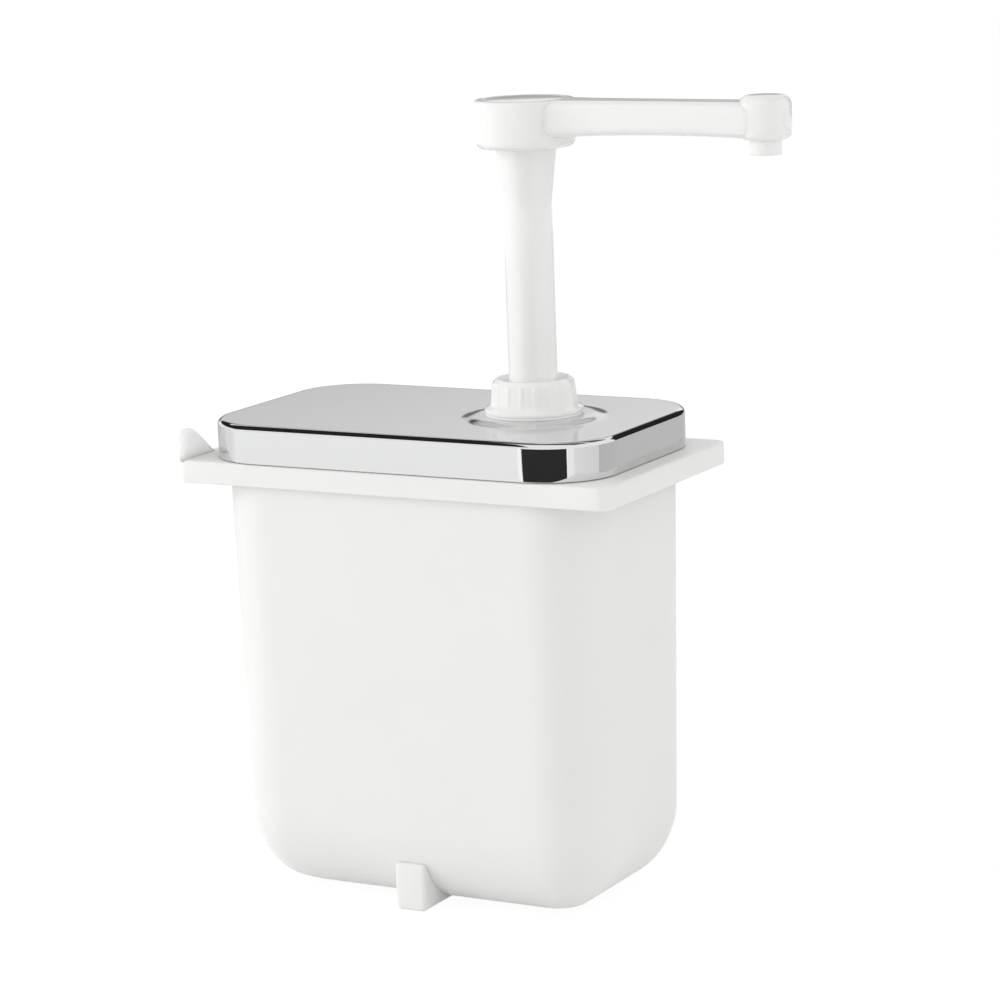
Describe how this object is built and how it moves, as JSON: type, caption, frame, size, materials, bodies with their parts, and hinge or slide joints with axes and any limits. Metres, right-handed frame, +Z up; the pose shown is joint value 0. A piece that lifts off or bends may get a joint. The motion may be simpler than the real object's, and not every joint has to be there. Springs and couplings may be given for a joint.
{
  "type": "sauce pump dispenser",
  "caption": "Countertop sauce pump: a milky hanging jar with a steel lid and a press-down plunger pump with a swivelling spout arm.",
  "frame": {"origin": "centre of the jar's base, on the surface that it stands on", "axes": "+Z up, +X along the jar towards the spout, +Y across the jar to its back"},
  "size_m": [0.2585, 0.113, 0.3365],
  "materials": {
    "jar_plastic": "milky, satin",
    "lid_steel": "polished skirt, satin top",
    "pump_plastic": "smooth white",
    "inner_plastic": "natural white",
    "seal_rubber": "matte black",
    "ball_steel": "polished",
    "spring_steel": "drawn wire"
  },
  "bodies": {
    "jar_body": {"jar": "jar_plastic"},
    "lid_body": {"lid": "lid_steel", "pump_cylinder": "pump_plastic", "cylinder_gasket": "seal_rubber", "guide_bush": "inner_plastic", "stem_wiper": "seal_rubber", "valve_body": "inner_plastic", "valve_oring": "seal_rubber", "inlet_cage": "inner_plastic", "dip_tube": "inner_plastic", "return_spring": "spring_steel"},
    "washer_body": {"nut_washer": "pump_plastic"},
    "nut_body": {"lock_nut": "pump_plastic"},
    "inlet_ball_body": {"inlet_ball": "ball_steel"},
    "plunger_body": {"stem_tube": "pump_plastic", "piston": "inner_plastic", "upper_piston_ring": "seal_rubber", "lower_piston_ring": "seal_rubber", "outlet_cage": "inner_plastic", "head_oring": "seal_rubber", "head_clip": "spring_steel"},
    "outlet_ball_body": {"outlet_ball": "ball_steel"},
    "head_body": {"spout_head": "pump_plastic", "head_cap": "pump_plastic", "nozzle_tip": "pump_plastic", "spout_plug": "pump_plastic"}
  },
  "joints": [
    {"name": "lid_lift", "type": "slide", "parent": "jar_body", "child": "lid_body", "axis": [0, 0, 1], "range_m": [0, 0.2]},
    {"name": "washer_rise", "type": "slide", "parent": "lid_body", "child": "washer_body", "axis": [0, 0, 1], "range_m": [0, 0.006]},
    {"name": "nut_turn", "type": "hinge", "parent": "washer_body", "child": "nut_body", "pos_m": [0.04, 0, 0.21], "axis": [0, 0, 1], "range_deg": [0, 720]},
    {"name": "inlet_ball_lift", "type": "slide", "parent": "lid_body", "child": "inlet_ball_body", "axis": [0, 0, 1], "range_m": [0, 0.003]},
    {"name": "plunger_press", "type": "slide", "parent": "lid_body", "child": "plunger_body", "axis": [0, 0, -1], "range_m": [0, 0.056], "stiffness_N_per_m": 300, "springref_m": -0.02, "deforming": ["return_spring"]},
    {"name": "outlet_ball_lift", "type": "slide", "parent": "plunger_body", "child": "outlet_ball_body", "axis": [0, 0, 1], "range_m": [0, 0.003]},
    {"name": "spout_swivel", "type": "hinge", "parent": "plunger_body", "child": "head_body", "pos_m": [0.04, 0, 0.32], "axis": [0, 0, 1], "continuous": true}
  ],
  "couplings": [
    {"joint": "washer_rise", "follows": "nut_turn", "m_per_rad": 0.00047746}
  ]
}
